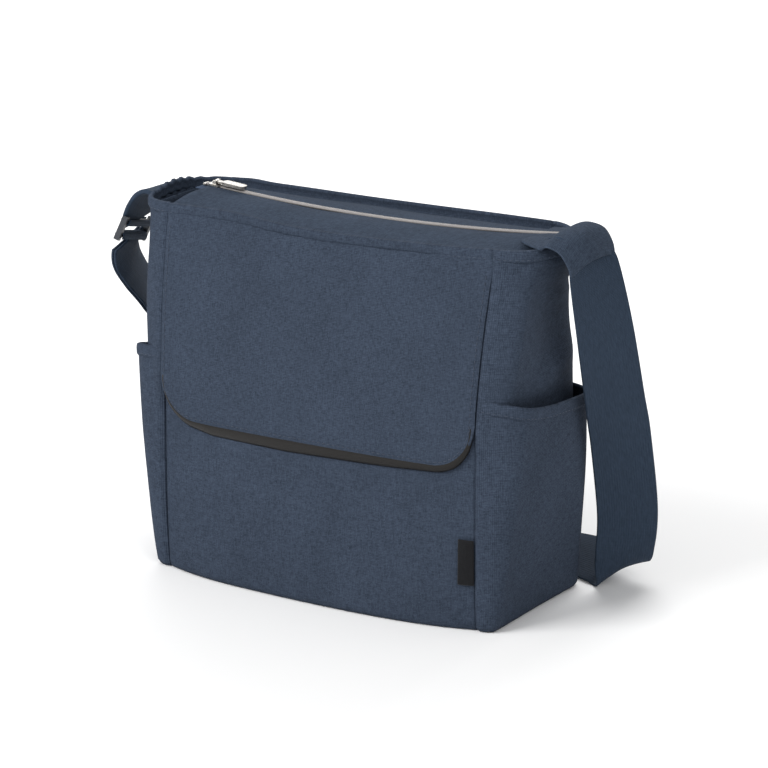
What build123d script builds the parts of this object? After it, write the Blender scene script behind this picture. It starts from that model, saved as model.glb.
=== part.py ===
from build123d import *
import math
import os

# Soft shoulder bag for baby care things: zip-top body, front flap, two side
# pockets and one wide webbing strap. Millimetres. X is the wearer's right to
# left as seen from the front, the front faces -Y, +Z is up, and the origin is
# the centre of the base on the floor.

# ---------------------------------------------------------------- dimensions
# Outer form of the body: height, half-width to the vertical seams, half-depth
# and half-width at the middle of the rounded sides.
BODY_ROWS = [
    (0, 155, 79, 167),
    (12, 155, 81, 170),
    (60, 156, 80, 172),
    (120, 157, 77, 174),
    (180, 158, 70, 177),
    (240, 160, 60, 186),
    (304, 161.5, 46, 190.5),
]
BODY_HEIGHT = 304          # top of the panels, under the hems
FABRIC = 3.0               # padded outer cloth
SEAM_X = 156               # plane of the vertical front and back seams
BOTTOM_THICK = 3.0
BOARD_THICK = 3.0
LINING_THICK = 1.0
LAYER_GAP = 0.2            # between cloth layers that lie on each other
BODY_GAP = 0.5             # between pieces that move past each other

FRONT_SET = 6.0            # front panel behind the body form, under the pocket
FRONT_SET_TOP = 240        # above this height it comes forward to the hem
POCKET_DEPTH = 6.5         # clear depth of the flat front pocket
POCKET_WALL = 2.0
POCKET_TOP = 240
POCKET_HALF = 154

HEM_HALF_X = 192           # outer size of the mouth
HEM_HALF_Y = 46
HEM_RADIUS = 30
HEM_WALL = 4.5
HEM_FRONT_TOP = 316
HEM_SIDE_TOP = 318
HEM_BACK_TOP = 321

SIDE_POCKET_ROWS = [       # height and outer half-width of the side pockets
    (6, 174.5),
    (60, 181.5),
    (120, 189.5),
    (160, 193),
    (200, 197),
]
SIDE_POCKET_FRONT_TOP = 197
SIDE_POCKET_BACK_TOP = 168
SIDE_POCKET_HEM = 10
HEM_PROUD = 0.8            # extra thickness of the folded pocket hems

FLAP_HALF = 157
FLAP_TOP = 302
FLAP_BOTTOM = 133
FLAP_CORNER = 38
FLAP_CLOTH = 2.5
FLAP_LINING = 1.2
TRIM_BOTTOM = 123
TRIM_BAND = 14
FLAP_STANDOFF = 3.0        # inner face of the flap outside the body form

MAGNET_Z = 152
MAGNET_R = 9.0
STUD_R = 3.0
STUD_CLEAR = 0.35

ZIP_X = 28                 # lowest point of the sagging zip line
ZIP_Z = 316
ZIP_ARC = 1900             # radius of the zip line
ZIP_START = -165
ZIP_END = 187
TAPE_END = 199
COIL_START = -154
COIL_END = 196
COIL_HALF = 2.4
TAPE_HALF = 13
SLIDER_X = -145
PIN_R = 0.8
PIN_FIT = 0.05
PULL_LENGTH = 30
PULL_GRIP = (22.5, 8.4, 2.6)   # its flat grip: length, width, thickness
PULL_RISE = 5.4               # middle of the grip above the zip line
PULL_TONGUE = (4.4, 1.6)       # the narrow part at the pin: width, thickness
PULL_CORNER = 3
PULL_EYE_R = 1.8
PIN_RISE = 5.0                 # pin above the zip line
PIN_LENGTH = 6.4

STRAP_WIDTH = 50
STRAP_THICK = 2.4
RING_AT = (-235.8, 0, 276.4)
RING_ALONG = (-0.299, -0.307, -0.904)    # from its upper bar to its lower bar
RING_ACROSS = (-0.234, 0.943, -0.242)
RING_PITCH = 14            # between the middles of its two long bars
RING_ARM = (22, 4.5, 5)    # its short sides: length, width, thickness
RING_WIRE_R = 2.0
FOLD_INNER = 2.3           # webbing folded round the ring's bars
FOLD_OUTER = 4.4
FOLD_ROOT = 3.2            # the fold closes up between this far from the bar
FOLD_REACH = 6             # and this far
UPPER_THICK = 4.4          # two layers of webbing
RETURN_OFFSET = -3.0       # second layer, on the outside of the strap
ADJUSTER_LENGTH = 24
ADJUSTER_HALF = 29.5
ADJUSTER_BAR = 3.0
BAR_THICK = 2.2
BAR_OFFSET = 3.1           # bars stand off the webbing's middle, in turn
ADJUSTER_START = 16        # its middle, along the straight stretch
TAB_WIDTH = 44
TAB_THICK = 2.0
TAB_OFFSET = -2.7
TAB_REACH = 11             # how far the end tab runs down the strap
ANCHOR_GAP = 199.8         # where the fixed strap ends stop, each side
ANCHOR_BOTTOM = 306
ANCHOR_LEFT_TOP = 320
ANCHOR_RIGHT_TOP = 321

LABEL_SIZE = (15, 0.8, 43)
LABEL_AT = (148, -84.2, 59.5)

# Short doubled webbing from the left side to the ring: centre line and width
# direction at each station.
UPPER_ROUTE = [
    ((-200.4, 0, 317.5), (0, 1, 0)),
    ((-207, 0, 316), (-0.05, 1, -0.05)),
    ((-214.5, 0.5, 311), (-0.1, 0.98, -0.12)),
    ((-222, 1.2, 303), (-0.15, 0.97, -0.17)),
    ((-228, 2, 294.5), (-0.2, 0.95, -0.22)),
]

# Shoulder strap, from the ring round behind the bag to the right end.
STRAP_ROUTE = [
    ((-242, -0.5, 254), (-0.24, 0.94, -0.25)),
    ((-243.5, 8, 240), (-0.27, 0.92, -0.27)),
    ((-245, 25, 220), (-0.3, 0.9, -0.3)),
    ((-246, 48, 192), (-0.35, 0.85, -0.35)),
    ((-239, 71, 153), (-0.35, 0.8, -0.5)),
    ((-201, 102, 98), (-0.35, 0.8, -0.5)),
    ((-160, 113, 64), (-0.3, 0.75, -0.6)),
    ((-105, 117, 33), (-0.15, 0.9, -0.4)),
    ((-40, 116, 15), (0, 1, -0.1)),
    ((30, 114, 12), (0.1, 0.98, 0.15)),
    ((95, 112, 12), (0.2, 0.93, 0.22)),
    ((150, 107, 12), (0.3, 0.88, 0.35)),
    ((184, 96, 12.5), (0.45, 0.8, 0.4)),
    ((201, 87, 14), (0.66, 0.62, 0.415)),
    ((209, 80, 34), (0.72, 0.66, 0.18)),
    ((214.5, 75, 72), (0.76, 0.65, 0)),
    ((220, 55, 138.5), (0.695, 0.72, -0.04)),
    ((223.5, 40, 175), (0.6, 0.8, -0.08)),
    ((228, 15, 244.5), (0.47, 0.87, -0.12)),
    ((227, 0, 298), (0.33, 0.93, -0.16)),
    ((222, 0, 318), (0.15, 0.95, -0.1)),
    ((212, 0, 327), (0.05, 1, -0.02)),
    ((201, 0, 325.5), (0, 1, 0)),
]
STRAIGHT = 5               # station, from the ring, where the straight stretch begins

os.makedirs("parts", exist_ok=True)


# ------------------------------------------------------------------- helpers
def row_at(z):
    """Seam half-width, half-depth and side half-width at a height."""
    for low, high in zip(BODY_ROWS, BODY_ROWS[1:]):
        if z <= high[0]:
            break
    t = (z - low[0]) / (high[0] - low[0])
    return [a + t * (b - a) for a, b in zip(low[1:], high[1:])]


def heights(z0, z1):
    """The two ends and every row of the body form between them."""
    return [z0] + [row[0] for row in BODY_ROWS if z0 < row[0] < z1] + [z1]


def front_set(z):
    """How far the front panel stands back at a height, to hold the pocket."""
    return FRONT_SET * min(1, (BODY_HEIGHT - z) / (BODY_HEIGHT - FRONT_SET_TOP))


def body_form(z0, z1, inset):
    """The body's form between two heights, made smaller all round by inset."""
    faces = []
    for z in heights(z0, z1):
        seam, depth, side = row_at(z)
        front = -(depth - front_set(z)) + inset
        back = depth - inset
        shape = RectangleRounded(2 * (side - inset), back - front, side - seam - inset)
        faces.append((Pos(0, (front + back) / 2, z) * shape).face())
    return loft(faces, ruled=True)


def front_slab(z0, z1, near, far, half):
    """A sheet that follows the front from z0 to z1, between two offsets."""
    zs = heights(z0, z1)
    outer = [(-(row_at(z)[1] + far), z) for z in zs]
    inner = [(-(row_at(z)[1] + near), z) for z in reversed(zs)]
    profile = Plane.YZ * make_face(Polyline(*outer, *inner, close=True))
    return extrude(profile, amount=half, both=True)


def block(x0, x1, y0, y1, z0, z1):
    return Pos((x0 + x1) / 2, (y0 + y1) / 2, (z0 + z1) / 2) * Box(x1 - x0, y1 - y0, z1 - z0)


def save(name, shape):
    export_step(shape, f"parts/{name}.step")


def mirrored(shape):
    return mirror(shape, about=Plane.YZ)


# ---------------------------------------------------------------- body shell
def make_body():
    shell = body_form(BOTTOM_THICK, BODY_HEIGHT, 0) - body_form(BOTTOM_THICK, BODY_HEIGHT, FABRIC)
    far = 300
    save("front_panel", shell & block(-SEAM_X, SEAM_X, -far, 0, 0, far * 2))
    save("back_panel", shell & block(-SEAM_X, SEAM_X, 0, far, 0, far * 2))
    save("left_side_panel", shell & block(-far, -SEAM_X, -far, far, 0, far * 2))
    save("right_side_panel", shell & block(SEAM_X, far, -far, far, 0, far * 2))
    save("bottom_panel", body_form(0, BOTTOM_THICK, 0))

    seam, depth, _ = row_at(BOTTOM_THICK)
    board_front = -(depth - front_set(BOTTOM_THICK)) + FABRIC + BODY_GAP
    board_back = depth - FABRIC - BODY_GAP
    save("base_board", block(-seam, seam, board_front, board_back,
                             BOTTOM_THICK, BOTTOM_THICK + BOARD_THICK))

    floor = BOTTOM_THICK + BOARD_THICK + LAYER_GAP
    outer = FABRIC + LAYER_GAP
    liner = body_form(floor, BODY_HEIGHT - 1, outer)
    liner -= body_form(floor + LINING_THICK, BODY_HEIGHT - 1, outer + LINING_THICK)
    save("lining", liner)


def make_hems():
    def ring(top):
        outer = RectangleRounded(2 * HEM_HALF_X, 2 * HEM_HALF_Y, HEM_RADIUS)
        inner = RectangleRounded(2 * (HEM_HALF_X - HEM_WALL), 2 * (HEM_HALF_Y - HEM_WALL),
                                 HEM_RADIUS - HEM_WALL)
        return extrude(Pos(0, 0, BODY_HEIGHT) * (outer - inner), amount=top - BODY_HEIGHT)

    far = 300
    save("front_hem", ring(HEM_FRONT_TOP) & block(-SEAM_X, SEAM_X, -far, 0, 0, 2 * far))
    save("back_hem", ring(HEM_BACK_TOP) & block(-SEAM_X, SEAM_X, 0, far, 0, 2 * far))
    side = ring(HEM_SIDE_TOP) & block(SEAM_X, far, -far, far, 0, 2 * far)
    save("right_side_hem", side)
    save("left_side_hem", mirrored(side))


# ------------------------------------------------------------------- pockets
def make_front_pocket():
    near = -FRONT_SET
    wall_in = near + POCKET_DEPTH
    wall_out = wall_in + POCKET_WALL
    bottom = 10
    side_seam = 3
    pocket = front_slab(bottom, POCKET_TOP, near, wall_out, POCKET_HALF)
    pocket -= front_slab(bottom + side_seam, POCKET_TOP + 1, near - 1, wall_in,
                         POCKET_HALF - side_seam)
    seat = Pos(0, 0, MAGNET_Z) * Rot(90, 0, 0) * Cylinder(MAGNET_R, 400)
    front_half = block(-50, 50, -200, -40, 0, 300)
    pocket -= seat & front_half
    save("front_pocket", pocket)

    socket = front_slab(bottom, POCKET_TOP, wall_in, wall_out, POCKET_HALF) & seat
    socket -= Pos(0, 0, MAGNET_Z) * Rot(90, 0, 0) * Cylinder(STUD_R + STUD_CLEAR, 400)
    save("pocket_magnet", socket)


def pocket_form(z0, z1, inset):
    """Outer form of the bag with its side pockets, smaller by inset."""
    faces = []
    rows = heights(z0, z1) + [row[0] for row in SIDE_POCKET_ROWS if z0 < row[0] < z1]
    for z in sorted(set(rows)):
        for low, high in zip(SIDE_POCKET_ROWS, SIDE_POCKET_ROWS[1:]):
            if z <= high[0]:
                break
        t = (z - low[0]) / (high[0] - low[0])
        side = low[1] + t * (high[1] - low[1])
        seam, depth, _ = row_at(z)
        front = -(depth - front_set(z)) - POCKET_WALL - LAYER_GAP + inset
        back = depth + POCKET_WALL + LAYER_GAP - inset
        shape = RectangleRounded(2 * (side - inset), back - front, side - seam - inset)
        faces.append((Pos(0, (front + back) / 2, z) * shape).face())
    return loft(faces, ruled=True)


def make_side_pockets():
    low = SIDE_POCKET_ROWS[0][0]
    high = SIDE_POCKET_ROWS[-1][0]
    run = 150

    def below(drop):
        """Everything under the slanting rim, lowered by drop."""
        front = SIDE_POCKET_FRONT_TOP - drop
        back = SIDE_POCKET_BACK_TOP - drop
        edge = Polyline((-run / 2, front), (run / 2, back), (run, back - 14.5), (run, -10),
                        (-run, -10), (-run, front + 14.5), close=True)
        return Pos(SEAM_X + BODY_GAP, 0, 0) * extrude(Plane.YZ * make_face(edge), amount=100)

    wall = pocket_form(low, high, 0) - pocket_form(low, high, POCKET_WALL)
    hem = pocket_form(low, high, -HEM_PROUD) - pocket_form(low, high, POCKET_WALL)
    pocket = wall & below(SIDE_POCKET_HEM)
    band = (hem & below(0)) - below(SIDE_POCKET_HEM)
    save("right_side_pocket", pocket)
    save("right_pocket_hem", band)
    save("left_side_pocket", mirrored(pocket))
    save("left_pocket_hem", mirrored(band))


# ---------------------------------------------------------------------- flap
def make_flap():
    def outline(half, bottom, corner):
        """Flat outline with two rounded lower corners, cut through in Y."""
        height = FLAP_TOP - bottom
        shape = Pos(0, bottom + height) * RectangleRounded(2 * half, 2 * height, corner)
        return extrude(Plane.XZ * shape, amount=200)

    layer_in = FLAP_STANDOFF
    layer_mid = layer_in + FLAP_LINING
    layer_out = layer_mid + FLAP_CLOTH
    cloth = front_slab(FLAP_BOTTOM, FLAP_TOP, layer_mid, layer_out, FLAP_HALF)
    save("flap_panel", cloth & outline(FLAP_HALF, FLAP_BOTTOM, FLAP_CORNER))

    under = front_slab(TRIM_BOTTOM, FLAP_TOP - 2, layer_in, layer_mid, FLAP_HALF)
    whole = under & outline(FLAP_HALF, TRIM_BOTTOM, FLAP_CORNER + 4)
    inner = outline(FLAP_HALF - TRIM_BAND, TRIM_BOTTOM + TRIM_BAND, FLAP_CORNER - 8)
    seat = Pos(0, 0, MAGNET_Z) * Rot(90, 0, 0) * Cylinder(MAGNET_R, 400)
    front_half = block(-50, 50, -200, -40, 0, 300)
    save("flap_trim", whole - inner)
    save("flap_lining", (whole & inner) - (seat & front_half))

    depth = row_at(MAGNET_Z)[1]
    stud = Pos(0, -(depth + layer_in) + 0.6, MAGNET_Z) * Rot(90, 0, 0) * Cylinder(STUD_R, 1.6)
    save("flap_magnet", (whole & inner & seat & front_half) + stud)


# ----------------------------------------------------------------- zip mouth
ZIP_AXIS = Axis((ZIP_X, 0, ZIP_Z + ZIP_ARC), (0, 1, 0))


def zip_angle(x):
    """Turn about the zip line's centre that brings its lowest point to x."""
    return -math.degrees(math.asin((x - ZIP_X) / ZIP_ARC))


def along_zip(points, x0, x1):
    """Sweep a closed profile, given as (y, height over the zip line), along it."""
    outline = Polyline(*[(y, ZIP_Z + h) for y, h in points], close=True)
    profile = Plane((ZIP_X, 0, 0), x_dir=(0, 1, 0), z_dir=(1, 0, 0)) * make_face(outline)
    swept = revolve(profile, axis=ZIP_AXIS, revolution_arc=zip_angle(x0) - zip_angle(x1))
    return swept.rotate(ZIP_AXIS, zip_angle(x1))


def both_sides(points):
    return [points, [(-y, h) for y, h in reversed(points)]]


def make_zip():
    edge_y = HEM_HALF_Y - HEM_WALL
    mouth = RectangleRounded(2 * (HEM_HALF_X - HEM_WALL), 2 * edge_y, HEM_RADIUS - HEM_WALL)
    inside = extrude(Pos(0, 0, BODY_HEIGHT - 10) * mouth, amount=60)
    panel = [(-edge_y, -10.6), (-TAPE_HALF, -1.6), (-TAPE_HALF, 0), (-edge_y, -9.0)]
    tape = [(-TAPE_HALF, -0.9), (-COIL_HALF, -0.9), (-COIL_HALF, -0.1), (-TAPE_HALF, -0.1)]
    for side, shape in zip(("front", "back"), both_sides(panel)):
        save(f"zip_panel_{side}", along_zip(shape, ZIP_START, ZIP_END) & inside)
    for side, shape in zip(("front", "back"), both_sides(tape)):
        save(f"zip_tape_{side}", along_zip(shape, ZIP_START, TAPE_END))

    coil = [(-COIL_HALF, -1.2), (COIL_HALF, -1.2), (COIL_HALF, 0.6), (1.2, 1.2),
            (-1.2, 1.2), (-COIL_HALF, 0.6)]
    save("zip_coil", along_zip(coil, COIL_START, COIL_END))
    stop = [(-3.2, 0), (3.2, 0), (3.2, 1.6), (-3.2, 1.6)]
    ends = along_zip(stop, COIL_START - 3, COIL_START) + along_zip(stop, COIL_END, COIL_END + 2.5)
    save("zip_stops", ends)

    # The slider and pull are made at the lowest point and turned along the line.
    plate = Pos(ZIP_X, 0, ZIP_Z + 2.3) * Box(12, 10, 1.4)
    plate = fillet(plate.edges().filter_by(Axis.Z), 3)
    slider = plate
    for side in (-1, 1):
        slider += Pos(ZIP_X, side * 4.4, ZIP_Z + 0.95) * Box(8, 1.2, 1.7)
        slider += Pos(ZIP_X, side * 3.2, ZIP_Z + 4.4) * Box(3.4, 1.2, 3.6)
    pin_at = Pos(ZIP_X, 0, ZIP_Z + PIN_RISE) * Rot(90, 0, 0)
    slider += pin_at * Cylinder(PIN_R, PIN_LENGTH)
    eye = pin_at * Cylinder(PULL_EYE_R, PULL_TONGUE[0])
    tongue = Pos(ZIP_X + PULL_LENGTH / 2, 0, ZIP_Z + PIN_RISE) * Box(PULL_LENGTH - 2, *PULL_TONGUE)
    grip = Pos(ZIP_X + PULL_LENGTH - PULL_GRIP[0] / 2, 0, ZIP_Z + PULL_RISE) * Box(*PULL_GRIP)
    pull = eye + tongue + fillet(grip.edges().filter_by(Axis.Z), PULL_CORNER)
    pull -= pin_at * Cylinder(PIN_R + PIN_FIT, PIN_LENGTH)
    turn = zip_angle(SLIDER_X)
    save("zip_slider", slider.rotate(ZIP_AXIS, turn))
    save("zip_pull", pull.rotate(ZIP_AXIS, turn))


# --------------------------------------------------------------------- strap
def frame_at(centre, along, width):
    """Centre, along, width and face directions, squared up."""
    along = along.normalized()
    across = (width - along * width.dot(along)).normalized()
    return centre, along, across, along.cross(across)


def frames_of(route):
    """The band's frame at each station of a route."""
    centres = [Vector(*centre) for centre, _ in route]
    last = len(centres) - 1
    return [frame_at(centres[i], centres[min(i + 1, last)] - centres[max(i - 1, 0)], Vector(*width))
            for i, (_, width) in enumerate(route)]


def ribbon(frames, width, thick, offset=0.0):
    """A flat band through the frames, moved off the centre line by offset."""
    wires = []
    for centre, _, across, face in frames:
        middle = centre + face * offset
        corners = [middle + across * (a * width / 2) + face * (b * thick / 2)
                   for a, b in ((-1, -1), (1, -1), (1, 1), (-1, 1))]
        wires.append(Wire.make_polygon(corners, close=True))
    return Solid.make_loft(wires, ruled=True)


def part_way(frame, other, distance):
    """The band's own frame at a distance from one station towards another."""
    t = distance / (other[0] - frame[0]).length
    return tuple(a + (b - a) * t for a, b in zip(frame, other))


def length_of(frames):
    return sum((b[0] - a[0]).length for a, b in zip(frames, frames[1:]))


def ring_frame(distance):
    """The ring's own frame, moved along the strap from its middle."""
    centre, along, across, face = frame_at(Vector(*RING_AT), Vector(*RING_ALONG),
                                           Vector(*RING_ACROSS))
    return centre + along * distance, along, across, face


def make_ring():
    middle, along, _, face = ring_frame(0)
    arm_y = (STRAP_WIDTH + RING_ARM[1]) / 2 + BODY_GAP
    ring = Part()
    for side in (-1, 1):
        ring += Pos(side * RING_PITCH / 2, 0, 0) * Rot(90, 0, 0) * Cylinder(RING_WIRE_R, 2 * arm_y)
        ring += Pos(0, side * arm_y, 0) * Box(*RING_ARM)
    save("strap_ring", Plane(origin=middle, x_dir=along, z_dir=face) * ring)


def make_fold(side, thick):
    """Webbing turned round one bar of the ring and sewn flat to thick."""
    middle, along, _, face = ring_frame(side * RING_PITCH / 2)
    width = STRAP_WIDTH - 2 * LAYER_GAP
    tube = Cylinder(FOLD_OUTER, width) - Cylinder(FOLD_INNER, width)
    root = Pos(side * (FOLD_ROOT + FOLD_REACH) / 2, 0, 0) * Box(FOLD_REACH - FOLD_ROOT,
                                                               STRAP_WIDTH, thick)
    return Plane(origin=middle, x_dir=along, z_dir=face) * (Rot(90, 0, 0) * tube + root)


def make_webbing(frames):
    upper = frames_of(UPPER_ROUTE) + [ring_frame(-RING_PITCH / 2 - FOLD_REACH)]
    save("strap_upper", ribbon(upper, STRAP_WIDTH, UPPER_THICK) + make_fold(-1, UPPER_THICK))
    save("strap_webbing", ribbon(frames, STRAP_WIDTH, STRAP_THICK) + make_fold(1, STRAP_THICK))
    print(f"webbing above the ring {length_of(upper):.0f} mm, strap {length_of(frames):.0f} mm")


def make_adjuster(frames):
    """Three-bar adjuster on the straight stretch, and the doubled layer up to it."""
    upper, lower = frames[STRAIGHT], frames[STRAIGHT + 1]
    middle, along, _, face = part_way(upper, lower, ADJUSTER_START)
    print("adjuster slides along", along, "from", middle,
          "straight for", (lower[0] - upper[0]).length)
    arm = Box(ADJUSTER_LENGTH, ADJUSTER_BAR, 2 * (BAR_OFFSET + BAR_THICK / 2))
    bar = Box(ADJUSTER_BAR, 2 * ADJUSTER_HALF, BAR_THICK)
    reach = (ADJUSTER_LENGTH - ADJUSTER_BAR) / 2
    adjuster = Pos(0, 0, BAR_OFFSET) * bar
    for side in (-1, 1):
        adjuster += Pos(0, side * (ADJUSTER_HALF - ADJUSTER_BAR / 2), 0) * arm
        adjuster += Pos(side * reach, 0, -BAR_OFFSET) * bar
    place = Plane(origin=middle, x_dir=along, z_dir=face)
    save("strap_adjuster", place * adjuster)

    end = part_way(upper, lower, ADJUSTER_START - ADJUSTER_LENGTH / 2 - 1)
    doubled = frames[:STRAIGHT + 1] + [end]
    save("strap_return", ribbon(doubled, STRAP_WIDTH - 1, STRAP_THICK, RETURN_OFFSET))
    print(f"doubled layer {length_of(doubled):.0f} mm")


def make_strap():
    frames = [ring_frame(RING_PITCH / 2 + FOLD_REACH)] + frames_of(STRAP_ROUTE)
    # The stretch the adjuster slides on is straight and flat.
    run = frames[STRAIGHT + 1][0] - frames[STRAIGHT][0]
    width = Vector(*STRAP_ROUTE[STRAIGHT - 1][1])
    for i in (STRAIGHT, STRAIGHT + 1):
        frames[i] = frame_at(frames[i][0], run, width)
    make_ring()
    make_webbing(frames)
    make_adjuster(frames)

    # The zip's end tab lies on the strap where it leaves the bag.
    tab = [part_way(frames[-3], frames[-4], TAB_REACH)] + frames[-3:]
    save("zip_end_tab", ribbon(tab, TAB_WIDTH, TAB_THICK, TAB_OFFSET))

    # Fixed ends, sewn to the side hems.
    half = STRAP_WIDTH / 2
    left_y = UPPER_ROUTE[0][0][1]
    save("strap_anchor_left", block(-ANCHOR_GAP, -HEM_HALF_X, left_y - half, left_y + half,
                                    ANCHOR_BOTTOM, ANCHOR_LEFT_TOP))
    save("strap_anchor_right", block(HEM_HALF_X, ANCHOR_GAP, -half, half,
                                     ANCHOR_BOTTOM, ANCHOR_RIGHT_TOP))


def make_label():
    x, y, z = LABEL_AT
    save("side_label", Pos(x, y, z) * Box(*LABEL_SIZE))


make_body()
make_hems()
make_front_pocket()
make_side_pockets()
make_flap()
make_zip()
make_strap()
make_label()
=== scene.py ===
import math

import bmesh
import bpy
import numpy as np
from mathutils import Matrix, Vector


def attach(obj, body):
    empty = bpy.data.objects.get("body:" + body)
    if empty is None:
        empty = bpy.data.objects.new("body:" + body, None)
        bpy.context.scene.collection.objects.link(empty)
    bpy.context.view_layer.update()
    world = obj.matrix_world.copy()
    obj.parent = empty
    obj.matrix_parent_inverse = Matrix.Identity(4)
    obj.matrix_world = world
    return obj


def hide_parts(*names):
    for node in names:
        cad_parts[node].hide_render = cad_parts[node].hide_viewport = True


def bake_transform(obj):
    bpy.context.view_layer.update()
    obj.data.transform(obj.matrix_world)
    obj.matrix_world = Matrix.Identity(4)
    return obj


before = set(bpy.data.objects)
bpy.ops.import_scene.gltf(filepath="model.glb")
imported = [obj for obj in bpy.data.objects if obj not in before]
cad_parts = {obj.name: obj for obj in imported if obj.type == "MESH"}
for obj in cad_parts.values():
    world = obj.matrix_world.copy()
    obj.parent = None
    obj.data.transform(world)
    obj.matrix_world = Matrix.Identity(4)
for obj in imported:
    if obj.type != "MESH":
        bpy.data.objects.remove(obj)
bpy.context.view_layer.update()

# Soft shoulder bag in navy melange cloth. Lengths are in millimetres here and
# become metres as each mesh is written. The front faces -Y and +Z is up.
MM = 0.001
scene = bpy.context.scene


# ------------------------------------------------------------------ materials
class Shader:
    """A node material, built up one node at a time."""

    def __init__(self, name):
        self.material = bpy.data.materials.new(name)
        self.material.use_nodes = True
        self.tree = self.material.node_tree
        self.bsdf = self.tree.nodes["Principled BSDF"]

    def node(self, kind, output=0, settings=None, **inputs):
        node = self.tree.nodes.new("ShaderNode" + kind)
        for key, value in (settings or {}).items():
            setattr(node, key, value)
        for key, value in inputs.items():
            self.feed(node.inputs[key.replace("_", " ")], value)
        return node.outputs[output]

    def feed(self, socket, value):
        if isinstance(value, bpy.types.NodeSocket):
            self.tree.links.new(value, socket)
        else:
            socket.default_value = value

    def math(self, operation, *values):
        node = self.tree.nodes.new("ShaderNodeMath")
        node.operation = operation
        for socket, value in zip(node.inputs, values):
            self.feed(socket, value)
        return node.outputs[0]

    def mix(self, factor, a, b):
        node = self.tree.nodes.new("ShaderNodeMix")
        node.data_type = "RGBA"
        self.feed(node.inputs["Factor"], factor)
        self.feed(node.inputs["A"], a)
        self.feed(node.inputs["B"], b)
        return node.outputs["Result"]

    def grain(self):
        """The cloth's own coordinates in millimetres, kept in each mesh."""
        vector = self.node("Attribute", 1, {"attribute_name": "grain"})
        split = self.tree.nodes.new("ShaderNodeSeparateXYZ")
        self.feed(split.inputs[0], vector)
        return split.outputs

    def noise(self, u, v, w, size_u, size_v, detail=2.0, rough=0.5):
        place = self.tree.nodes.new("ShaderNodeCombineXYZ")
        self.feed(place.inputs[0], self.math("DIVIDE", u, size_u))
        self.feed(place.inputs[1], self.math("DIVIDE", v, size_v))
        self.feed(place.inputs[2], w)
        return self.node("TexNoise", 0, Vector=place.outputs[0], Scale=1.0, Detail=detail,
                         Roughness=rough)

    def bump(self, height, distance):
        self.feed(self.bsdf.inputs["Normal"],
                  self.node("Bump", 0, Height=height, Distance=distance, Strength=1.0))

    def set(self, **inputs):
        for key, value in inputs.items():
            self.feed(self.bsdf.inputs[key.replace("_", " ")], value)


def colour(r, g, b):
    """Linear colour from the usual 0-255 display values."""
    return tuple((c / 255 / 12.92 if c <= 10 else ((c / 255 + 0.055) / 1.055) ** 2.4)
                 for c in (r, g, b)) + (1.0,)


def woven(name, dark, light, pitch=1.2, slub=4.5, depth=0.0002, rough=0.9, sheen=0.0):
    """Plain weave with slubbed threads of two shades, each float painted lighter on its crown and darker
    where the threads cross: painted shade of the weave's relief.
    """
    s = Shader(name)
    u, v, w = s.grain()
    across = s.math("COSINE", s.math("MULTIPLY", u, math.pi / pitch))
    down = s.math("COSINE", s.math("MULTIPLY", v, math.pi / pitch))
    over = s.math("MULTIPLY", across, down)
    weft = s.noise(u, v, w, slub, pitch * 0.8, 2.0, 0.6)
    warp = s.noise(u, v, s.math("ADD", w, 9.0), pitch * 0.8, slub, 2.0, 0.6)
    pick = s.math("MULTIPLY_ADD", over, 0.5, 0.5)
    thread = s.math("ADD", s.math("MULTIPLY", weft, pick),
                    s.math("MULTIPLY", warp, s.math("SUBTRACT", 1.0, pick)))
    crown = s.math("ABSOLUTE", over)
    height = s.math("MULTIPLY_ADD", crown, 0.55, s.math("MULTIPLY", thread, 0.9))
    # painted shade: the float crowns that the bump raises are also painted lighter, and the crossings
    # darker
    tone_and_relief_shade = s.node("MapRange", 0, Value=s.math("MULTIPLY_ADD", crown, 0.24, thread),
                  From_Min=0.34, From_Max=0.86, To_Min=0.0, To_Max=1.0)
    cloudy = s.noise(u, v, s.math("ADD", w, 3.0), 55.0, 70.0, 3.0, 0.55)
    cloth = s.mix(tone_and_relief_shade, dark, light)
    shade = s.node("HueSaturation", 0, Color=cloth,
                   Value=s.math("MULTIPLY_ADD", cloudy, 0.36, 0.82))
    s.set(Base_Color=shade, Roughness=s.math("MULTIPLY_ADD", thread, 0.1, rough - 0.05),
          Sheen_Weight=sheen, Sheen_Roughness=0.5, Specular_IOR_Level=0.08)
    s.bump(height, depth)
    return s.material


RIB_PITCH, RIB_DEPTH = 1.3, 0.0003


def ribbed(name, dark, light):
    """Dense webbing: fine ribs across, warp threads along."""
    s = Shader(name)
    u, v, w = s.grain()
    rib = s.math("COSINE", s.math("MULTIPLY", v, 2 * math.pi / RIB_PITCH))
    cord = s.math("COSINE", s.math("MULTIPLY", u, 2 * math.pi / (RIB_PITCH * 1.6)))
    fibre = s.noise(u, v, w, 0.9, 7.0, 3.0, 0.6)
    cloudy = s.noise(u, v, w, 30.0, 60.0)
    height = s.math("ADD", s.math("MULTIPLY_ADD", rib, 0.3, 0.5),
                    s.math("ADD", s.math("MULTIPLY", cord, 0.2), s.math("MULTIPLY", fibre, 0.5)))
    # painted shade: the raised ribs are also painted a little lighter than the grooves between them
    tone_and_relief_shade = s.node("MapRange", 0, Value=s.math("MULTIPLY_ADD", rib, 0.07, fibre),
                  From_Min=0.15, From_Max=0.9, To_Min=0.0, To_Max=1.0)
    shade = s.node("HueSaturation", 0, Color=s.mix(tone_and_relief_shade, dark, light),
                   Value=s.math("MULTIPLY_ADD", cloudy, 0.12, 0.94))
    s.set(Base_Color=shade, Roughness=0.78, Specular_IOR_Level=0.15)
    s.bump(height, RIB_DEPTH)
    return s.material


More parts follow.
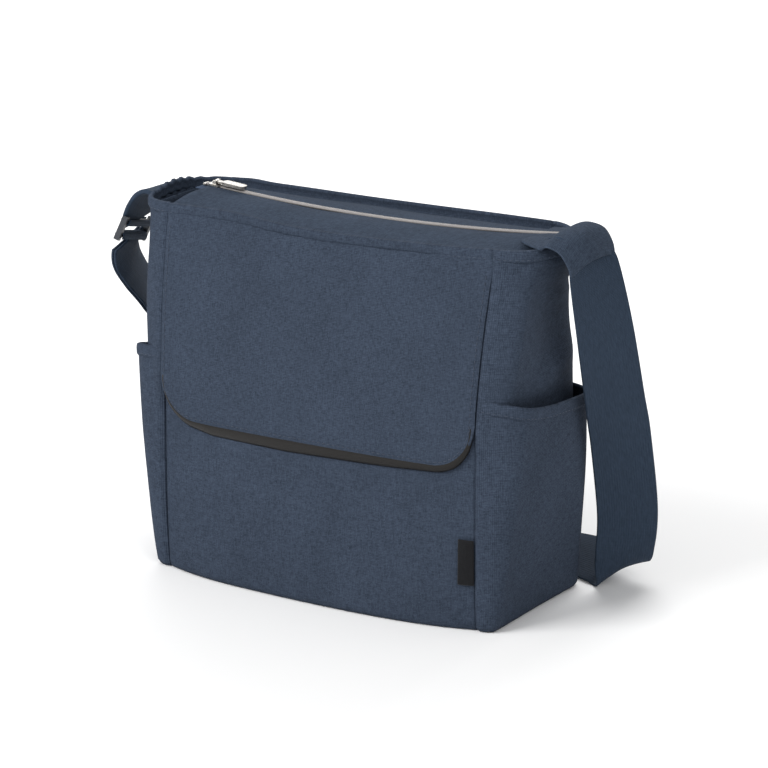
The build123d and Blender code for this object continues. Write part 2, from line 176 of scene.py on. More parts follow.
def solid(name, base, rough, metal=0.0, grain_size=0.0006, grain=0.00006, wear=0.12,
          shine=0.5):
    """Metal, plastic or leather with a fine grain and uneven polish."""
    s = Shader(name)
    place = s.node("TexCoord", 3)
    fine = s.node("TexNoise", 0, Vector=place, Scale=1.0 / grain_size, Detail=3.0)
    broad = s.node("TexNoise", 0, Vector=place, Scale=90.0, Detail=2.0)
    shade = s.node("HueSaturation", 0, Color=base, Value=s.math("MULTIPLY_ADD", broad, wear, 1 - wear / 2))
    s.set(Base_Color=shade, Metallic=metal, Specular_IOR_Level=shine,
          Roughness=s.math("MULTIPLY_ADD", fine, 0.2, rough - 0.1))
    s.bump(fine, grain)
    return s.material


NAVY_DARK, NAVY_LIGHT = colour(34, 41, 52), colour(65, 75, 91)
fabric = woven("fabric_melange", NAVY_DARK, NAVY_LIGHT)
side_fabric = woven("fabric_melange_side", NAVY_DARK, NAVY_LIGHT, pitch=1.35)
closure_fabric = woven("fabric_closure", colour(37, 44, 55), colour(64, 75, 91))
lining_fabric = woven("lining_cloth", colour(26, 30, 38), colour(44, 50, 60), pitch=0.8, slub=5.0,
                      depth=0.0001, rough=0.7)
webbing = ribbed("webbing_navy", colour(33, 44, 57), colour(51, 64, 82))
thread_mat = solid("thread_navy", colour(50, 60, 76), 0.7, grain_size=0.0004)
trim_leather = solid("trim_leather", colour(13, 10, 8), 0.4, grain_size=0.0009, grain=0.0001,
                     wear=0.3, shine=0.3)
tape_cloth = woven("zip_tape_cloth", colour(38, 47, 63), colour(70, 84, 106), pitch=0.9, slub=4.0,
                   depth=0.0001)
coil_metal = solid("zip_coil_taupe", colour(158, 154, 152), 0.45, metal=0.35, wear=0.2)
silver = solid("zip_silver", colour(172, 169, 164), 0.3, metal=1.0, wear=0.2)
dark_plastic = solid("hardware_dark", colour(34, 39, 47), 0.42, wear=0.25)
magnet_steel = solid("magnet_steel", colour(120, 120, 122), 0.35, metal=1.0)
board_grey = solid("board_grey", colour(52, 55, 60), 0.75, grain_size=0.0015, wear=0.3)
label_cloth = woven("label_cloth", colour(12, 12, 14), colour(26, 27, 30), pitch=0.7, slub=6.0,
                    depth=0.00008, rough=0.55, sheen=0.1)


# --------------------------------------------------------------------- meshes
def write(name, points, faces, material, grain=None, mend=True):
    """A mesh from points in millimetres, with its cloth coordinates."""
    mesh = bpy.data.meshes.new(name)
    mesh.from_pydata((np.asarray(points) * MM).tolist(), [], faces)
    if grain is not None:
        attribute = mesh.attributes.new("grain", "FLOAT_VECTOR", "POINT")
        attribute.data.foreach_set("vector", np.asarray(grain, np.float32).ravel())
    if mend:
        work = bmesh.new()
        work.from_mesh(mesh)
        bmesh.ops.recalc_face_normals(work, faces=work.faces)
        work.to_mesh(mesh)
        work.free()
    mesh.polygons.foreach_set("use_smooth", [True] * len(mesh.polygons))
    mesh.materials.append(material)
    piece = bpy.data.objects.new(name, mesh)
    scene.collection.objects.link(piece)
    return piece


def unit(a):
    return a / np.maximum(np.linalg.norm(a, axis=-1, keepdims=True), 1e-9)


def normals_of(surface):
    return unit(np.cross(np.gradient(surface, axis=1), np.gradient(surface, axis=0)))


def border(grid):
    """The grid's edge, once round."""
    return np.concatenate([grid[0, :-1], grid[:-1, -1], grid[-1, :0:-1], grid[:0:-1, 0]])


_seed = [0.0]


def flat_grain(u, v):
    """Cloth coordinates, shifted so that no two pieces show the same threads."""
    _seed[0] += 17.3
    return np.stack([u, v, np.full_like(u, _seed[0])], -1)


def cloth(name, surface, thick, material, grain=None, round_edge=0.42):
    """A closed sheet: the outer surface, one behind it, and a rounded rim."""
    rows, cols = surface.shape[:2]
    if grain is None:
        du = np.linalg.norm(np.diff(surface, axis=1, prepend=surface[:, :1]), axis=-1)
        dv = np.linalg.norm(np.diff(surface, axis=0, prepend=surface[:1]), axis=-1)
        grain = flat_grain(du.cumsum(1), dv.cumsum(0))
    back = surface - normals_of(surface) * thick
    index = np.arange(rows * cols).reshape(rows, cols)
    inner_row, inner_col = np.clip(np.arange(rows), 1, rows - 2), np.clip(np.arange(cols), 1, cols - 2)
    outward = border(surface - surface[np.ix_(inner_row, inner_col)])
    rim = (border(surface) + border(back)) / 2 + unit(outward) * thick * round_edge
    points = np.concatenate([surface.reshape(-1, 3), back.reshape(-1, 3), rim])
    grains = np.concatenate([grain.reshape(-1, 3), grain.reshape(-1, 3), border(grain)])
    a, b, c, d = index[:-1, :-1], index[:-1, 1:], index[1:, 1:], index[1:, :-1]
    front = np.stack([a, b, c, d], -1).reshape(-1, 4)
    total = rows * cols
    edge = border(index)
    loop = 2 * total + np.arange(len(edge))
    after, loop_after = np.roll(edge, -1), np.roll(loop, -1)
    faces = [front, front[:, ::-1] + total,
             np.stack([after, edge, loop, loop_after], -1),
             np.stack([loop_after, loop, edge + total, after + total], -1)]
    return write(name, points, np.concatenate(faces).tolist(), material, grains)


def smooth_rows(rows):
    """Smooth lookup of each column against the first one."""
    table = np.array(rows, float)
    key, values = table[:, 0], table[:, 1:]
    slope = np.gradient(values, key, axis=0)

    def at(x):
        x = np.clip(np.asarray(x, float), key[0], key[-1])
        i = np.clip(np.searchsorted(key, x) - 1, 0, len(key) - 2)
        span = key[i + 1] - key[i]
        t = ((x - key[i]) / span)[..., None]
        span = span[..., None]
        out = ((2 * t**3 - 3 * t**2 + 1) * values[i] + (t**3 - 2 * t**2 + t) * span * slope[i]
               + (3 * t**2 - 2 * t**3) * values[i + 1] + (t**3 - t**2) * span * slope[i + 1])
        return tuple(out[..., k] for k in range(values.shape[1]))
    return at


STITCH, STITCH_GAP, THREAD_R = 3.4, 1.5, 0.34


def stitches(name, path, normal, sink=0.05):
    """A row of thread stitches along a path that lies on cloth."""
    path, normal = np.asarray(path, float), np.asarray(normal, float)
    step = np.linalg.norm(np.diff(path, axis=0), axis=1)
    along = np.concatenate([[0], step.cumsum()])
    points, faces = [], []
    sides, profile = 5, ((0, 0.25), (0.12, 0.8), (0.5, 1.0), (0.88, 0.8), (1, 0.25))
    for k in range(int((along[-1] - STITCH) // (STITCH + STITCH_GAP)) + 1):
        start = k * (STITCH + STITCH_GAP)
        for t, size in profile:
            here = start + t * STITCH
            p = np.array([np.interp(here, along, path[:, i]) for i in range(3)])
            n = unit(np.array([np.interp(here, along, normal[:, i]) for i in range(3)]))
            ahead = np.array([np.interp(here + 0.5, along, path[:, i]) for i in range(3)])
            behind = np.array([np.interp(here - 0.5, along, path[:, i]) for i in range(3)])
            side = unit(np.cross(unit(ahead - behind), n))
            lift = THREAD_R * (size - 1) + sink
            for j in range(sides):
                angle = 2 * math.pi * j / sides
                points.append(p + n * (lift + THREAD_R * size * math.sin(angle))
                              + side * THREAD_R * size * math.cos(angle))
        base = len(points) - sides * len(profile)
        for i in range(len(profile) - 1):
            for j in range(sides):
                a, b = base + i * sides + j, base + i * sides + (j + 1) % sides
                faces.append([a, b, b + sides, a + sides])
        faces.append([base + j for j in range(sides)])
        faces.append([base + sides * (len(profile) - 1) + j for j in reversed(range(sides))])
    return write(name, points, faces, thread_mat)


def on_surface(surface, row_at, col_at):
    """Points and normals of a grid at fractional rows and columns."""
    rows, cols = surface.shape[:2]
    r = np.clip(np.asarray(row_at, float), 0, rows - 1.001)
    c = np.clip(np.asarray(col_at, float), 0, cols - 1.001)
    i, j = r.astype(int), c.astype(int)
    fr, fc = (r - i)[:, None], (c - j)[:, None]

    def pick(a):
        return ((a[i, j] * (1 - fc) + a[i, j + 1] * fc) * (1 - fr)
                + (a[i + 1, j] * (1 - fc) + a[i + 1, j + 1] * fc) * fr)
    return pick(surface), unit(pick(normals_of(surface)))


# ----------------------------------------------------------------------- body
body = smooth_rows([
    (0, 157, 73.5, 165),
    (12, 157, 74, 168),
    (60, 157.5, 74, 172),
    (120, 157.5, 72.5, 176),
    (180, 157.5, 68.5, 180.5),
    (240, 159.5, 60, 187.5),
    (304, 162, 46, 191.5),
])
BODY_TOP = 304
WALL_TOP = 310             # the walls run on up inside the hems
HEM_BAND = 9.0
BASE_ROUND = 5.0
FRONT_BELLY, BACK_BELLY = 17.0, 9.0
FACE_ROWS, FACE_COLUMNS = 72, 81
SIDE_ROWS, SIDE_COLUMNS = 60, 71
FRONT_CORNER, BACK_CORNER = 0.55, 1.75   # depth of the walls' corners, against their width
pocket_side = smooth_rows([(0, 172), (60, 181.5), (120, 189.5), (160, 193), (200, 197)])
pocket_rim = smooth_rows([(-80, 202), (-66, 196), (-48, 190), (-20, 184.5), (20, 181), (50, 179),
                          (80, 177)])
hem_front_top = smooth_rows([(-165, 317.2), (-90, 316.6), (-44, 312.6), (50, 312.2), (110, 314.2),
                             (165, 317.4)])
HEM_DEPTH, HEM_SEAM, HEM_SIDE = 46.6, 162.0, 192.0


def base_round(z):
    """How far the walls draw in where they turn under the base."""
    low = np.clip(BASE_ROUND - z, 0, BASE_ROUND)
    return BASE_ROUND - np.sqrt(BASE_ROUND**2 - low**2)


def belly(x, z, amount=FRONT_BELLY):
    """How far the filled bag swells past its seams, most at the base."""
    across = np.clip(1 - (np.abs(x) / 157) ** 3.2, 0, 1)
    return amount * across * (0.25 + 0.75 * np.exp(-(z / 80.0) ** 2)) * np.clip((300 - z) / 120, 0, 1)


def pinch(distance, amount=1.5, reach=1.5):
    """The dip that a seam pulls into the cloth beside it."""
    return amount * np.exp(-(distance / reach) ** 2)


def ripple(u, v, size, amount, phase=0.0):
    """Slow unevenness of soft cloth."""
    return amount * (np.sin(u / size + phase) * np.cos(v / (size * 1.3) + 2 * phase)
                     + 0.5 * np.sin(u / (size * 0.55) + v / (size * 0.8) + 3 * phase)) / 1.5


def side_curve(seam, depth, side, s, back=1.0):
    """Rounded side, s from 0 at the front seam to 1 at the back one:
    x, y, outward normal and distance along it. Corners are part ellipses."""
    rx = side - seam
    ry_front, ry_back = np.minimum(rx * FRONT_CORNER, depth * 0.9), np.minimum(rx * back, depth * 0.9)
    arc_front, arc_back = math.pi / 4 * (rx + ry_front), math.pi / 4 * (rx + ry_back)
    flat = 2 * depth - ry_front - ry_back
    total = arc_front + flat + arc_back
    d = s * total
    at_front, at_back = d < arc_front, d > arc_front + flat
    turn = math.pi / 2 * np.clip(np.where(at_back, (total - d) / arc_back, d / arc_front), 0, 1)
    ry = np.where(at_back, ry_back, ry_front)
    x = seam + rx * np.sin(turn)
    y = np.where(at_front, -depth + ry * (1 - np.cos(turn)),
                 np.where(at_back, depth - ry * (1 - np.cos(turn)),
                          -depth + ry_front + d - arc_front))
    nx, ny = np.sin(turn) / rx, np.cos(turn) / ry * np.where(at_back, 1.0, -1.0)
    corner = at_front | at_back
    size = np.hypot(nx, ny)
    return x, y, np.where(corner, nx / size, 1.0), np.where(corner, ny / size, 0.0), d


def face_panel(z0, z1, front, set_back=0.0, fullness=2.2, phase=0.0):
    """Surface of a front or back wall; set_back is a number or a function of z."""
    u = np.sin(np.linspace(-1, 1, FACE_COLUMNS) * math.pi / 2)[None, :]
    z = z0 + np.linspace(0, 1, FACE_ROWS)[:, None] * (z1 - z0) + 0 * u
    seam, depth, _ = body(z)
    x = u * seam
    back_off = set_back(z) if callable(set_back) else set_back
    out = depth - back_off - base_round(z) - pinch(seam - np.abs(x))
    puff = np.cos(x / seam * math.pi / 2) ** 0.7 * np.sin(np.clip(z / BODY_TOP, 0, 1) * math.pi) ** 0.6
    out = out + fullness * (puff - 0.85) + ripple(x, z, 38, 0.7, phase)
    out = out + belly(x, z, FRONT_BELLY if front else BACK_BELLY)
    sign = -1 if front else 1
    surface = np.stack([x, sign * out, z], -1)
    grain = flat_grain(x, z)
    if not front:
        surface, grain = surface[:, ::-1], grain[:, ::-1]
    return surface, grain


def side_surface(form, z0, z1, sign, offset=0.0, rows=SIDE_ROWS, phase=0.0, shape=None, back=1.0):
    """Surface of a rounded side wall; z0 and z1 are numbers or functions of y."""
    t = np.linspace(0, 1, rows)[:, None]
    s = (0.5 - 0.5 * np.cos(np.linspace(0, 1, SIDE_COLUMNS) * math.pi))[None, :] + 0 * t
    z = np.full_like(s, BODY_TOP / 2)
    for _ in range(3):      # the rim's height depends on y, and y on the height
        seam, depth, side = form(z)
        x, y, nx, ny, d = side_curve(seam, depth, side, s, back=back)
        low = z0(y)[0] if callable(z0) else z0
        high = z1(y)[0] if callable(z1) else z1
        z = low + t * (high - low) + 0 * s
    seam, depth, side = form(z)
    x, y, nx, ny, d = side_curve(seam, depth, side, s, back=back)
    edge = np.minimum(d, d.max(1, keepdims=True) - d)
    out = offset - base_round(z) - pinch(edge) + ripple(d, z, 30, 0.8, phase)
    if shape is not None:
        out = out + shape(y, z, edge)
    surface = np.stack([sign * (x + nx * out), y + ny * out, z], -1)
    grain = flat_grain(d, z)
    if sign < 0:
        surface, grain = surface[:, ::-1], grain[:, ::-1]
    return surface, grain


def strap_pull(y, sign):
    """How far the strap drags the mouth outwards at the right end."""
    return (15.0 if sign > 0 else 2.0) * np.exp(-(y / 30.0) ** 2)


def gather(y):
    """Height of the puckers at the left end of the mouth."""
    middle = np.cos(np.clip(y / HEM_DEPTH, -1, 1) * math.pi / 2)
    return 4.5 * middle ** 2 + 1.4 * np.sin(y * 0.62) * middle


def pocket_form(z):
    seam, depth, _ = body(z)
    return seam, depth, pocket_side(z)[0]


def finish_piece(piece, bodies, slot, *nodes):
    """Put a piece on its body, or only bake its placement when given a bend, and hide what it stands for.
    The slot argument is not used.
    """
    if nodes:
        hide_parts(*nodes)
    if isinstance(bodies, str):
        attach(piece, bodies)
    else:
        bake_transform(piece)
    return piece


def run_of(surface, row, inset=0):
    """A row of a grid as points and normals."""
    cols = surface.shape[1]
    at = np.linspace(inset, cols - 1 - inset, cols * 2)
    return on_surface(surface, np.full(len(at), float(row)), at)


FRONT_SET = 6.0


def set_back_of_front(z):
    return FRONT_SET * np.clip((BODY_TOP - z) / 64, 0, 1) ** 0.7


def make_walls():
    """Front, front pocket, back and two gussets with their folds."""
    surface, grain = face_panel(1, 306, True, set_back=set_back_of_front, phase=1.0,
                                fullness=0.5)
    finish_piece(cloth("wall_front", surface, 2.4, fabric, grain), "bag", "fabric", "front_panel")

    surface, grain = face_panel(1, 240, True, phase=0.4)
    finish_piece(cloth("pocket_front", surface, 1.8, fabric, grain), "bag", "fabric",
                 "front_pocket")
    path, normal = run_of(surface, 68.4, 1)
    finish_piece(stitches("pocket_front_stitch", path, normal), "bag", "fabric")

    surface, grain = face_panel(1, WALL_TOP + 4, False, phase=2.0, fullness=3.0)
    finish_piece(cloth("wall_back", surface, 2.6, fabric, grain), "bag", "fabric", "back_panel")

    for sign, tag in ((-1, "left"), (1, "right")):
        def folds(y, z, edge, sign=sign):
            flush = 2.6 * np.exp(-(edge / 10) ** 2) * (y < 0) * np.clip((z - 150) / 20, 0, 1)
            crease = 1.8 * np.exp(-((z - 283 + 0.08 * (y + 40)) / 3.5) ** 2)
            hollow = 6.5 * np.exp(-((z - 240) / 26) ** 2) * np.exp(-((y - 14) / 34) ** 2)
            slump = 3.5 * np.exp(-((z - 203 - 0.2 * y) / 11) ** 2) * np.exp(-((y - 8) / 36) ** 2)
            drag = 2.4 * np.exp(-((z - 262 + 0.35 * (y + 10)) / 5.5) ** 2) * np.exp(-((y + 6) / 22) ** 2)
            return (flush - crease * np.clip((y + 34) / 20, 0, 1) - hollow + slump - drag
                    + strap_pull(y, sign) * np.clip((z - 262) / 44, 0, 1) ** 2)
        def top(y, sign=sign):
            return (WALL_TOP + (gather(y) if sign < 0 else 0.0),)
        surface, grain = side_surface(body, 1, top, sign, phase=sign, shape=folds, back=BACK_CORNER)
        finish_piece(cloth(f"wall_{tag}", surface, 2.4, side_fabric, grain), "bag", "fabric",
                     f"{tag}_side_panel")


def make_base():
    """Base cloth: rings that shrink towards the middle, slightly domed up."""
    seam, depth, side = (float(v) for v in body(0.0))
    s = (0.5 - 0.5 * np.cos(np.linspace(0, 1, 41) * math.pi))
    x, y, *_ = side_curve(seam, depth, side, s)
    front = np.linspace(-seam, seam, 41)[1:-1]
    ring = np.concatenate([np.stack([x, y], -1),
                           np.stack([-front, depth + belly(front, 0.0, BACK_BELLY)], -1),
                           np.stack([-x[::-1], y[::-1]], -1),
                           np.stack([front, -depth - belly(front, 0.0)], -1)])
    scale = np.array([1 - BASE_ROUND / side, 0.85, 0.6, 0.3, 0.02])
    lift = np.array([0.4, 0.3, 0.6, 0.9, 1.0])
    points, faces = [], []
    count = len(ring)
    for height in (0.0, 2.6):
        for k, h in zip(scale, lift):
            points += [(px * k, py * (k if k < 0.9 else 1 - BASE_ROUND / depth), h + height)
                       for px, py in ring]
    layers = len(scale)
    for layer in range(2):
        for i in range(layers - 1):
            a = (layer * layers + i) * count
            faces += [[a + j, a + (j + 1) % count, a + count + (j + 1) % count, a + count + j]
                      for j in range(count)]
        inner = (layer * layers + layers - 1) * count
        faces.append([inner + j for j in range(count)])
    top = layers * count
    faces += [[j, (j + 1) % count, top + (j + 1) % count, top + j] for j in range(count)]
    points = np.array(points)
    piece = write("base", points, faces, fabric, flat_grain(points[:, 0], points[:, 1]))
    finish_piece(piece, "bag", "base_fabric", "bottom_panel")


def make_hems():
    """Folded band round the mouth, in four pieces joined at the seams."""
    rows = np.linspace(0, 1, 9)[:, None]
    bulge = 0.9 * np.sin(rows * math.pi) ** 0.6

    u = np.linspace(-1, 1, 121)[None, :]
    for front in (True, False):
        x = u * HEM_SEAM
        if front:
            top = hem_front_top(x)[0]
        else:
            top = 321 + 1.2 * np.exp(-((x + 138) / 14) ** 2) - 0.7 * np.exp(-(x / 70) ** 2)
        z = top - HEM_BAND * (1 - rows)
        out = HEM_DEPTH + bulge - pinch(HEM_SEAM - np.abs(x), 0.9, 1.6) + ripple(x, z, 30, 0.5)
        surface = np.stack([x + 0 * rows, (-out if front else out), z], -1)
        if not front:
            surface = surface[:, ::-1]
        tag = "front" if front else "back"
        finish_piece(cloth(f"hem_{tag}", surface, 4.2, fabric), "bag", "hem_fabric",
                     f"{tag}_hem")
        path, normal = run_of(surface, 1.7, 0.5)
        finish_piece(stitches(f"hem_{tag}_stitch", path, normal), "bag", "hem_fabric")

    for sign, tag in ((-1, "left"), (1, "right")):
        s = (0.5 - 0.5 * np.cos(np.linspace(0, 1, 61) * math.pi))[None, :] + 0 * rows
        x, y, nx, ny, d = side_curve(HEM_SEAM, HEM_DEPTH, HEM_SIDE, s,
                                     back=BACK_CORNER if sign > 0 else 1.0)
        top = 317.4 + 3.2 * s + (gather(y) if sign < 0 else 0.0)
        z = top - HEM_BAND * (1 - rows)
        out = bulge - pinch(np.minimum(d, d[:, -1:] - d), 0.9, 1.6) + strap_pull(y, sign)
        surface = np.stack([sign * (x + nx * out), y + ny * out, z], -1)
        if sign < 0:
            surface = surface[:, ::-1]
        finish_piece(cloth(f"hem_{tag}", surface, 4.2, side_fabric), "bag", "hem_fabric",
                     f"{tag}_side_hem")
        path, normal = run_of(surface, 1.7, 0.5)
        finish_piece(stitches(f"hem_{tag}_stitch", path, normal), "bag", "hem_fabric")


def make_side_pockets():
    """Open pockets on the gussets, each with a folded elastic hem."""
    for sign, tag in ((-1, "left"), (1, "right")):
        def sag(y, z, edge):
            mouth = np.clip((z - 120) / 70, 0, 1) ** 2
            return 1.2 * mouth * np.exp(-((y + 30) / 40) ** 2)
        surface, grain = side_surface(pocket_form, 1, pocket_rim, sign, offset=0.4, phase=3 + sign,
                                      shape=sag)
        finish_piece(cloth(f"side_pocket_{tag}", surface, 1.8, side_fabric, grain), "bag", "fabric",
                     f"{tag}_side_pocket")

        def low(y):
            return (pocket_rim(y)[0] - 10,)
        band, grain = side_surface(pocket_form, low, pocket_rim, sign, offset=1.3, rows=9,
                                   phase=3 + sign, shape=sag)
        bulge = 0.7 * np.sin(np.linspace(0, 1, 9) * math.pi)[:, None, None] ** 0.6
        band = band + normals_of(band) * bulge
        finish_piece(cloth(f"side_pocket_hem_{tag}", band, 3.4, side_fabric, grain), "bag",
                     "hem_fabric", f"{tag}_pocket_hem")
        path, normal = run_of(band, 1.4, 0.5)
        finish_piece(stitches(f"side_pocket_stitch_{tag}", path, normal), "bag", "hem_fabric")


# ----------------------------------------------------------------------- flap
FLAP_HALF, FLAP_TOP, FLAP_BOTTOM, FLAP_CORNER = 158.0, 304.0, 137.5, 38.0
FLAP_TUCK = 2.0            # how far the flap runs up under the hem
FLAP_ROWS, FLAP_COLUMNS = 66, 121
flap_bend = ("bag", "flap", (0, -51, 306), (0, -51, 290))


def flap_edge(x, bottom, corner, half):
    """Height of the flap's lower edge at x, with rounded corners."""
    past = np.clip(np.abs(x) - (half - corner), 0, corner)
    return bottom + corner - np.sqrt(np.maximum(corner**2 - past**2, 0))


def flap_flare(z):
    """The flap widens upwards with the seams beside it."""
    return body(z)[0] + 0.2 - FLAP_HALF


def flap_offset(x, z):
    """How far the flap stands off the body."""
    below = np.maximum(hem_front_top(x)[0] - HEM_BAND - z, 0)
    top = 0.4 + 2.3 * (1 - np.exp(-below / 5.0))
    return top + 0.9 * np.cos(x / 170 * math.pi / 2) + ripple(x, z, 45, 0.5, 0.9)


def flap_surface(bottom, corner, half, lift, start=FLAP_TUCK):
    """Outer surface of the flap, or of its lining, from under the hem to its rounded edge."""
    u = np.sin(np.linspace(-1, 1, FLAP_COLUMNS) * math.pi / 2)[None, :]
    low = flap_edge(u * half, bottom, corner, half)
    start = start + hem_front_top(u * half)[0] - HEM_BAND
    t = np.linspace(0, 1, FLAP_ROWS)[:, None]
    t = 0.5 * t + 0.5 * np.sin(t * math.pi / 2)
    z = start + t * (low - start)
    x = u * (half + flap_flare(z))
    _, depth, _ = body(z)
    edge = np.minimum(z - low, half + flap_flare(z) - np.abs(x))
    roll = 1.5 * np.exp(-(np.maximum(edge, 0) / 2.2))
    y = -(depth + belly(x, z) + flap_offset(x, z) + lift - roll)
    surface = np.stack([x, y, z], -1)[::-1]
    return surface, flat_grain(x, z)[::-1]


def flap_line(inset, lift, top=300.0, count=420):
    """Points down one side, round the corners and up the other, inside the edge."""
    half, bottom, corner = FLAP_HALF - inset, FLAP_BOTTOM + inset, FLAP_CORNER - inset
    arc = math.pi / 2 * corner
    down, across = top - bottom - corner, 2 * (half - corner)
    d = np.linspace(0, 2 * down + 2 * arc + across, count)
    x, z = np.zeros(count), np.zeros(count)
    for i, k in enumerate(d):
        if k < down:
            x[i], z[i] = -half, top - k
        elif k < down + arc:
            a = (k - down) / corner
            x[i], z[i] = -half + corner * (1 - math.cos(a)), bottom + corner * (1 - math.sin(a))
        elif k < down + arc + across:
            x[i], z[i] = -half + corner + k - down - arc, bottom
        elif k < down + 2 * arc + across:
            a = (k - down - arc - across) / corner
            x[i], z[i] = half - corner * (1 - math.sin(a)), bottom + corner * (1 - math.cos(a))
        else:
            x[i], z[i] = half, bottom + corner + k - down - 2 * arc - across
    x = x + np.sign(x) * flap_flare(z) * np.clip(np.abs(x) / half, 0, 1)
    y = -(body(z)[1] + belly(x, z) + flap_offset(x, z) + lift)
    return np.stack([x, y, z], -1), d


def make_flap():
    """The flap's cloth, lining, topstitch and trim."""
    surface, grain = flap_surface(FLAP_BOTTOM, FLAP_CORNER, FLAP_HALF, 1.3)
    outer = cloth("flap_cloth", surface, 1.6, fabric, grain)
    finish_piece(outer, flap_bend, "fabric", "flap_panel")

    inner, grain = flap_surface(FLAP_BOTTOM + 6, FLAP_CORNER - 6, FLAP_HALF - 6, -0.3, start=-3)
    piece = cloth("flap_lining", inner, 0.9, lining_fabric, grain)
    finish_piece(piece, flap_bend, "lining", "flap_lining")

    path, _ = flap_line(4.2, lift=1.3)
    normal = np.tile([0.0, -1.0, -0.15], (len(path), 1))
    finish_piece(stitches("flap_stitch", path, normal, sink=0.0), flap_bend, "fabric")

    # Trim: a band that shows below the cloth, widest along the bottom.
    path, d = flap_line(5.0, lift=0.2, top=174.0)
    total = d[-1]
    shown = np.interp(d / total, [0, 0.10, 0.20, 0.42, 0.72, 0.90, 1.0],
                      [-1.0, 2.5, 8.5, 10.0, 7.2, 4.2, -1.5]) + 5.0
    tangent = unit(np.gradient(path, axis=0))
    out = unit(np.cross(np.array([0.0, 1.0, 0.0]), tangent))
    if out[len(out) // 2, 2] > 0:
        out = -out
    cross = np.linspace(0, 1, 9)[None, :, None]
    drop = path[:, None] + out[:, None] * cross * shown[:, None, None]
    drop[..., 1] += 1.6 - 2.4 * np.sin(cross[..., 0] * math.pi) ** 0.8
    trim = cloth("flap_trim", drop, 1.9, trim_leather, round_edge=0.5)
    finish_piece(trim, "flap", "trim", "flap_trim")


# ----------------------------------------------------------------------- zip
ZIP_X, ZIP_Z, ZIP_ARC = 28.0, 316.2, 1900.0    # lowest point and radius of the zip line
COIL_START, COIL_END = -154, 197
strap_bend = ("bag", "strap", (0, 0, 322), (0, 0, 296))


def zip_z(x):
    """Height of the sagging zip line."""
    return ZIP_Z + (x - ZIP_X) ** 2 / (2 * ZIP_ARC)


def make_closure():
    """Front and back closure panels that slope down to the hems, and the zip's tapes."""
    for front in (True, False):
        sign = -1 if front else 1
        t = np.linspace(0, 1, 25)[:, None]
        left = -166 + 16 * np.clip(t * 1.3, 0, 1) ** 1.5
        right = 190 - 3 * t
        u = np.linspace(0, 1, 121)[None, :]
        x = left + u * (right - left)
        depth = 41.8
        corner = 26 * np.clip((np.abs(x) - 164) / 26, 0, 1) ** 2
        y = (depth - corner) * (1 - t) + 3.2 * t
        hem = (hem_front_top(np.clip(x, -160, 160))[0] - 4.0) if front else 314 + 0 * x
        ease = t * t * (3 - 2 * t)
        z = hem + (zip_z(x) + 0.7 - hem) * (0.35 * t + 0.65 * ease) + 2.0 * np.sin(t * math.pi)
        z = z + ripple(x, y, 26, 0.6, 1.2 + sign)
        surface = np.stack([x, sign * y, z], -1)
        if not front:
            surface = surface[::-1]
        tag = "front" if front else "back"
        finish_piece(cloth(f"closure_{tag}", surface, 1.8, closure_fabric), "bag",
                     "closure_fabric", f"zip_panel_{tag}")
        row = 22.4 if front else 1.6
        path, normal = run_of(surface, row, 2)
        finish_piece(stitches(f"closure_{tag}_stitch", path, normal, sink=0.1), "bag",
                     "closure_fabric")
        # tape under the panel, up to the coil
        x = np.linspace(-158, 199, 121)[None, :] + 0 * t[:7]
        y = np.linspace(12.5, 2.1, 7)[:, None] + 0 * x
        surface = np.stack([x, sign * y, zip_z(x) - 0.5 - 0.02 * (12.5 - y)], -1)
        if not front:
            surface = surface[::-1]
        finish_piece(cloth(f"zip_tape_{tag}", surface, 0.7, tape_cloth), "bag", "zip_tape",
                     f"zip_tape_{tag}")


def make_coil():
    """Two rows of coil teeth that mesh along the zip line."""
    points, faces = [], []
    pitch, sides = 1.35, 5
    profile = ((-1.7, 0.3), (-1.3, 0.6), (1.0, 0.66), (1.5, 0.35))
    for k in range(int((COIL_END - COIL_START) / pitch)):
        x = COIL_START + k * pitch
        for sign in (-1, 1):
            centre = np.array([x + (0.5 * pitch if sign > 0 else 0), sign * 1.0, zip_z(x) + 1.0])
            base = len(points)
            for reach, radius in profile:
                for j in range(sides):
                    angle = 2 * math.pi * j / sides
                    points.append(centre + (radius * math.cos(angle), -sign * reach,
                                            2.1 * radius * math.sin(angle)))
            for i in range(len(profile) - 1):
                for j in range(sides):
                    a, b = base + i * sides + j, base + i * sides + (j + 1) % sides
                    faces.append([a, b, b + sides, a + sides])
            faces.append([base + j for j in range(sides)])
            faces.append([base + sides * 3 + j for j in reversed(range(sides))])
    finish_piece(write("zip_coil_teeth", points, faces, coil_metal), "bag", "zip_coil", "zip_coil")


# --------------------------------------------------------------------- strap
def smooth_line(points, per=12):
    """Catmull-Rom line through the points."""
    p = np.array(points, float)
    p = np.concatenate([2 * p[:1] - p[1:2], p, 2 * p[-1:] - p[-2:-1]])
    out = []
    for i in range(1, len(p) - 2):
        for t in np.linspace(0, 1, per, endpoint=False):
            out.append(0.5 * (2 * p[i] + (p[i + 1] - p[i - 1]) * t
                              + (2 * p[i - 1] - 5 * p[i] + 4 * p[i + 1] - p[i + 2]) * t**2
                              + (3 * p[i] - p[i - 1] - 3 * p[i + 1] + p[i + 2]) * t**3))
    out.append(p[-2])
    return np.array(out)


EDGE_CURL = 0.6            # how far the webbing's edges bend back


